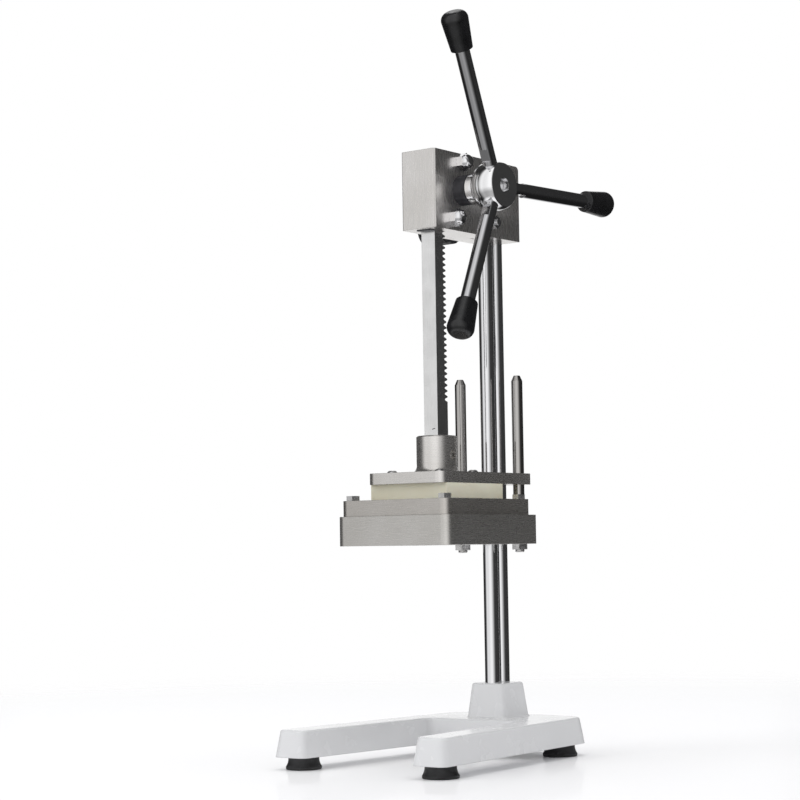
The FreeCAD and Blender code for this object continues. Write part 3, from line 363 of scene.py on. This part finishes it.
def thread(name, start, way, length, radius, pitch, material):
    """The ridge of a screw thread on a plain rod: a triangle swept along a helix."""
    turn = Vector(way).to_track_quat("Z", "Y")
    steps = int(THREAD_STEPS * length / pitch)
    half_width = pitch * THREAD_HALF_WIDTH
    points, faces = [], []
    for n in range(steps + 1):
        angle = 2 * math.pi * n / THREAD_STEPS
        height = pitch * n / THREAD_STEPS
        grown = min(1, n / THREAD_GROWTH, (steps - n) / THREAD_GROWTH)
        section = ((-THREAD_ROOT, -half_width), (THREAD_RISE * grown, 0), (-THREAD_ROOT, half_width))
        for rise, shift in section:
            reach = radius + rise
            spot = Vector((reach * math.cos(angle), reach * math.sin(angle), height + shift))
            points.append(Vector(start) + turn @ spot)
    for n in range(steps):
        for side in range(3):
            after = (side + 1) % 3
            faces.append((3 * n + side, 3 * n + after, 3 * n + 3 + after, 3 * n + 3 + side))
    faces += [(2, 1, 0), (3 * steps, 3 * steps + 1, 3 * steps + 2)]
    add_piece(name, points, faces, "root", material)


def threads(material):
    """Threads on the ends of the guide pins below their nuts and of the clamp stud past its nut."""
    nuts_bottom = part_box("guide_pin_nuts")[0][2]
    for side in ("left", "right"):
        low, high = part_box("guide_pin_" + side)
        end = ((low[0] + high[0]) / 2, (low[1] + high[1]) / 2, low[2] + THREAD_START)
        thread("pin_thread_" + side, end, (0, 0, 1), nuts_bottom - end[2], PIN_THREAD_RADIUS,
               PIN_THREAD_PITCH, material)
    low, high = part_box("clamp_stud")
    end = (high[0] - THREAD_START, (low[1] + high[1]) / 2, (low[2] + high[2]) / 2)
    nut_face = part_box("clamp_nut")[1][0]
    thread("clamp_stud_thread", end, (-1, 0, 0), end[0] - nut_face, (high[2] - low[2]) / 2,
           STUD_THREAD_PITCH, material)


def rack_mark(material):
    """The short dark nick low on the rack's front face: a thin four-sided flake."""
    low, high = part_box("rack_bar")
    left = (low[0] + high[0]) / 2 + MARK_SHIFT
    right = left + MARK_LENGTH
    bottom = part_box("press_plate")[1][2] + MARK_RISE
    outline = [(left, bottom), (right, bottom + MARK_HEIGHT * 0.5), (right, bottom + MARK_HEIGHT),
               (left + MARK_LENGTH * 0.3, bottom + MARK_HEIGHT * 0.8)]
    points = [(x, y, z) for y in (low[1] - MARK_STAND, low[1]) for x, z in outline]
    sides = [(n, (n + 1) % 4, (n + 1) % 4 + 4, n + 4) for n in range(4)]
    add_piece("rack_mark", points, [(3, 2, 1, 0), (4, 5, 6, 7)] + sides, "press", material)


def pale_floor():
    """A flat floor around the machine that isn't part of it."""
    half = FLOOR_SIZE / 2
    mesh = bpy.data.meshes.new("floor")
    mesh.from_pydata([(-half, -half, 0), (half, -half, 0), (half, half, 0), (-half, half, 0)], [],
                     [(0, 1, 2, 3)])
    mesh.materials.append(floor_white())
    floor = bpy.data.objects.new("floor", mesh)
    bpy.context.scene.collection.objects.link(floor)


def floor_white():
    """White with a thin gloss that mirrors the machine faintly, and clear far from the machine."""
    material = bpy.data.materials.new("studio_floor")
    material.use_nodes = True
    tree = material.node_tree
    tree.nodes.remove(tree.nodes["Principled BSDF"])
    matt = tree.nodes.new("ShaderNodeBsdfDiffuse")
    matt.inputs["Color"].default_value = FLOOR_COLOR
    gloss = tree.nodes.new("ShaderNodeBsdfAnisotropic")
    gloss.inputs["Color"].default_value = (1, 1, 1, 1)
    gloss.inputs["Roughness"].default_value = FLOOR_GLOSS
    blend = tree.nodes.new("ShaderNodeMixShader")
    blend.inputs["Fac"].default_value = FLOOR_MIRROR
    tree.links.new(matt.outputs["BSDF"], blend.inputs[1])
    tree.links.new(gloss.outputs["BSDF"], blend.inputs[2])
    clear = tree.nodes.new("ShaderNodeBsdfTransparent")
    fade = tree.nodes.new("ShaderNodeMixShader")
    tree.links.new(floor_fade(tree), fade.inputs["Fac"])
    tree.links.new(blend.outputs["Shader"], fade.inputs[1])
    tree.links.new(clear.outputs["BSDF"], fade.inputs[2])
    tree.links.new(fade.outputs["Shader"], tree.nodes["Material Output"].inputs["Surface"])
    return material


def floor_fade(tree):
    """How far the floor has faded: by distance from the machine, and sooner for metal."""
    place = tree.nodes.new("ShaderNodeTexCoord").outputs["Object"]
    reach = tree.nodes.new("ShaderNodeVectorMath")
    reach.operation = "LENGTH"
    tree.links.new(place, reach.inputs[0])
    fades = []
    for start, end in (FLOOR_FADE, FLOOR_FADE_IN_METAL):
        ease = tree.nodes.new("ShaderNodeMapRange")
        ease.interpolation_type = "SMOOTHSTEP"
        ease.inputs["From Min"].default_value = start
        ease.inputs["From Max"].default_value = end
        tree.links.new(reach.outputs["Value"], ease.inputs["Value"])
        fades.append(ease.outputs["Result"])
    pick = tree.nodes.new("ShaderNodeMix")
    tree.links.new(tree.nodes.new("ShaderNodeLightPath").outputs["Is Glossy Ray"], pick.inputs["Factor"])
    tree.links.new(fades[0], pick.inputs["A"])
    tree.links.new(fades[1], pick.inputs["B"])
    return pick.outputs["Result"]


def lamp(name, watts, size, place, target):
    """A soft box that lights matt surfaces and stays out of reflections."""
    data = bpy.data.lights.new(name, "AREA")
    data.energy = watts
    data.shape = "RECTANGLE"
    data.size, data.size_y = size
    light = bpy.data.objects.new(name, data)
    light.location = place
    light.rotation_euler = (Vector(place) - Vector(target)).to_track_quat("Z", "Y").to_euler()
    light.visible_glossy = False
    bpy.context.scene.collection.objects.link(light)


def math_node(tree, operation, *values):
    """A sum, product or the like of numbers and sockets."""
    node = tree.nodes.new("ShaderNodeMath")
    node.operation = operation
    for socket, value in zip(node.inputs, values):
        if isinstance(value, float):
            socket.default_value = value
        else:
            tree.links.new(value, socket)
    return node.outputs[0]


def surroundings(tree):
    """Brightness by compass angle, as a ramp around the horizon, and darker towards the floor."""
    place = tree.nodes.new("ShaderNodeTexCoord").outputs["Generated"]
    parts = tree.nodes.new("ShaderNodeSeparateXYZ")
    tree.links.new(place, parts.inputs[0])
    angle = math_node(tree, "ARCTAN2", parts.outputs["Y"], parts.outputs["X"])
    turn = math_node(tree, "MULTIPLY_ADD", angle, 0.5 / math.pi, 0.5)
    ramp = tree.nodes.new("ShaderNodeValToRGB")
    stops = ramp.color_ramp.elements
    while len(stops) < len(SURROUNDINGS):
        stops.new(0.5)
    for stop, (degrees, grey) in zip(stops, SURROUNDINGS):
        stop.position = (degrees + 180) / 360
        stop.color = (grey, grey, grey, 1)
    tree.links.new(turn, ramp.inputs["Fac"])
    low = tree.nodes.new("ShaderNodeMapRange")
    low.inputs["From Min"].default_value = LOW_RISES[0]
    low.inputs["From Max"].default_value = LOW_RISES[1]
    low.inputs["To Min"].default_value = LOW_SHADE
    low.inputs["To Max"].default_value = 1.0
    tree.links.new(parts.outputs["Z"], low.inputs["Value"])
    shaded = tree.nodes.new("ShaderNodeVectorMath")
    shaded.operation = "SCALE"
    tree.links.new(ramp.outputs["Color"], shaded.inputs[0])
    tree.links.new(low.outputs["Result"], shaded.inputs["Scale"])
    return shaded.outputs["Vector"]


def studio():
    """A white backdrop for the camera, light and dark walls for the metal, and even light for the rest."""
    world = bpy.data.worlds.new("studio")
    bpy.context.scene.world = world
    world.use_nodes = True
    tree = world.node_tree
    background = tree.nodes["Background"]
    rays = tree.nodes.new("ShaderNodeLightPath")
    white_rays = math_node(tree, "MAXIMUM", rays.outputs["Is Camera Ray"],
                           rays.outputs["Is Transmission Ray"])
    walls = tree.nodes.new("ShaderNodeMix")
    walls.data_type = "RGBA"
    tree.links.new(rays.outputs["Is Glossy Ray"], walls.inputs["Factor"])
    walls.inputs[MIX_FIRST].default_value = (DIFFUSE_LEVEL, DIFFUSE_LEVEL, DIFFUSE_LEVEL, 1)
    tree.links.new(surroundings(tree), walls.inputs[MIX_SECOND])
    seen = tree.nodes.new("ShaderNodeMix")
    seen.data_type = "RGBA"
    tree.links.new(white_rays, seen.inputs["Factor"])
    tree.links.new(walls.outputs[MIX_RESULT], seen.inputs[MIX_FIRST])
    seen.inputs[MIX_SECOND].default_value = (1, 1, 1, 1)
    tree.links.new(seen.outputs[MIX_RESULT], background.inputs["Color"])
    for box in SOFT_BOXES:
        lamp(*box)


make_camera()
smooth_curves()
dress_all()
pale_floor()
studio()
bpy.context.scene.view_settings.view_transform = "Standard"
